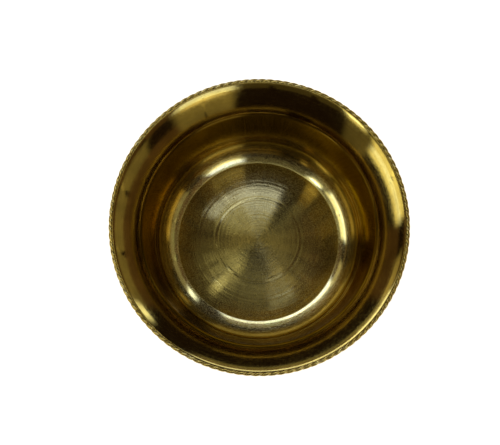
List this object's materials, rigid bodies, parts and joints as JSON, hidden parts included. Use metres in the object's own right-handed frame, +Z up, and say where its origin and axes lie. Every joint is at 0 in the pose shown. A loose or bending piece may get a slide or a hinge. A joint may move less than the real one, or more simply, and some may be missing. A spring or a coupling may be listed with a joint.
{
  "type": "offering bowl",
  "caption": "Small round brass offering bowl with a flared lip edged by a roped ring, a tapered wall, a floor pushed up in the middle and a waisted foot to stand on.",
  "frame": {"origin": "middle of the foot's underside, on the surface the bowl stands on", "axes": "+Z up along the bowl's axis; X and Y are alike, because the bowl is round"},
  "size_m": [0.08, 0.08, 0.04],
  "materials": {
    "spun_brass": "polished, with fine turning marks",
    "roped_brass": "polished crests, dark tarnish in the notches",
    "foot_brass": "polished, a little duller than the bowl",
    "solder": "dull, tarnished brazing"
  },
  "bodies": {
    "root": {"bowl_body": "spun_brass", "rim_rope_ring": "roped_brass", "rim_solder_seam": "solder", "foot_ring": "foot_brass", "foot_solder_seam": "solder"}
  },
  "joints": []
}
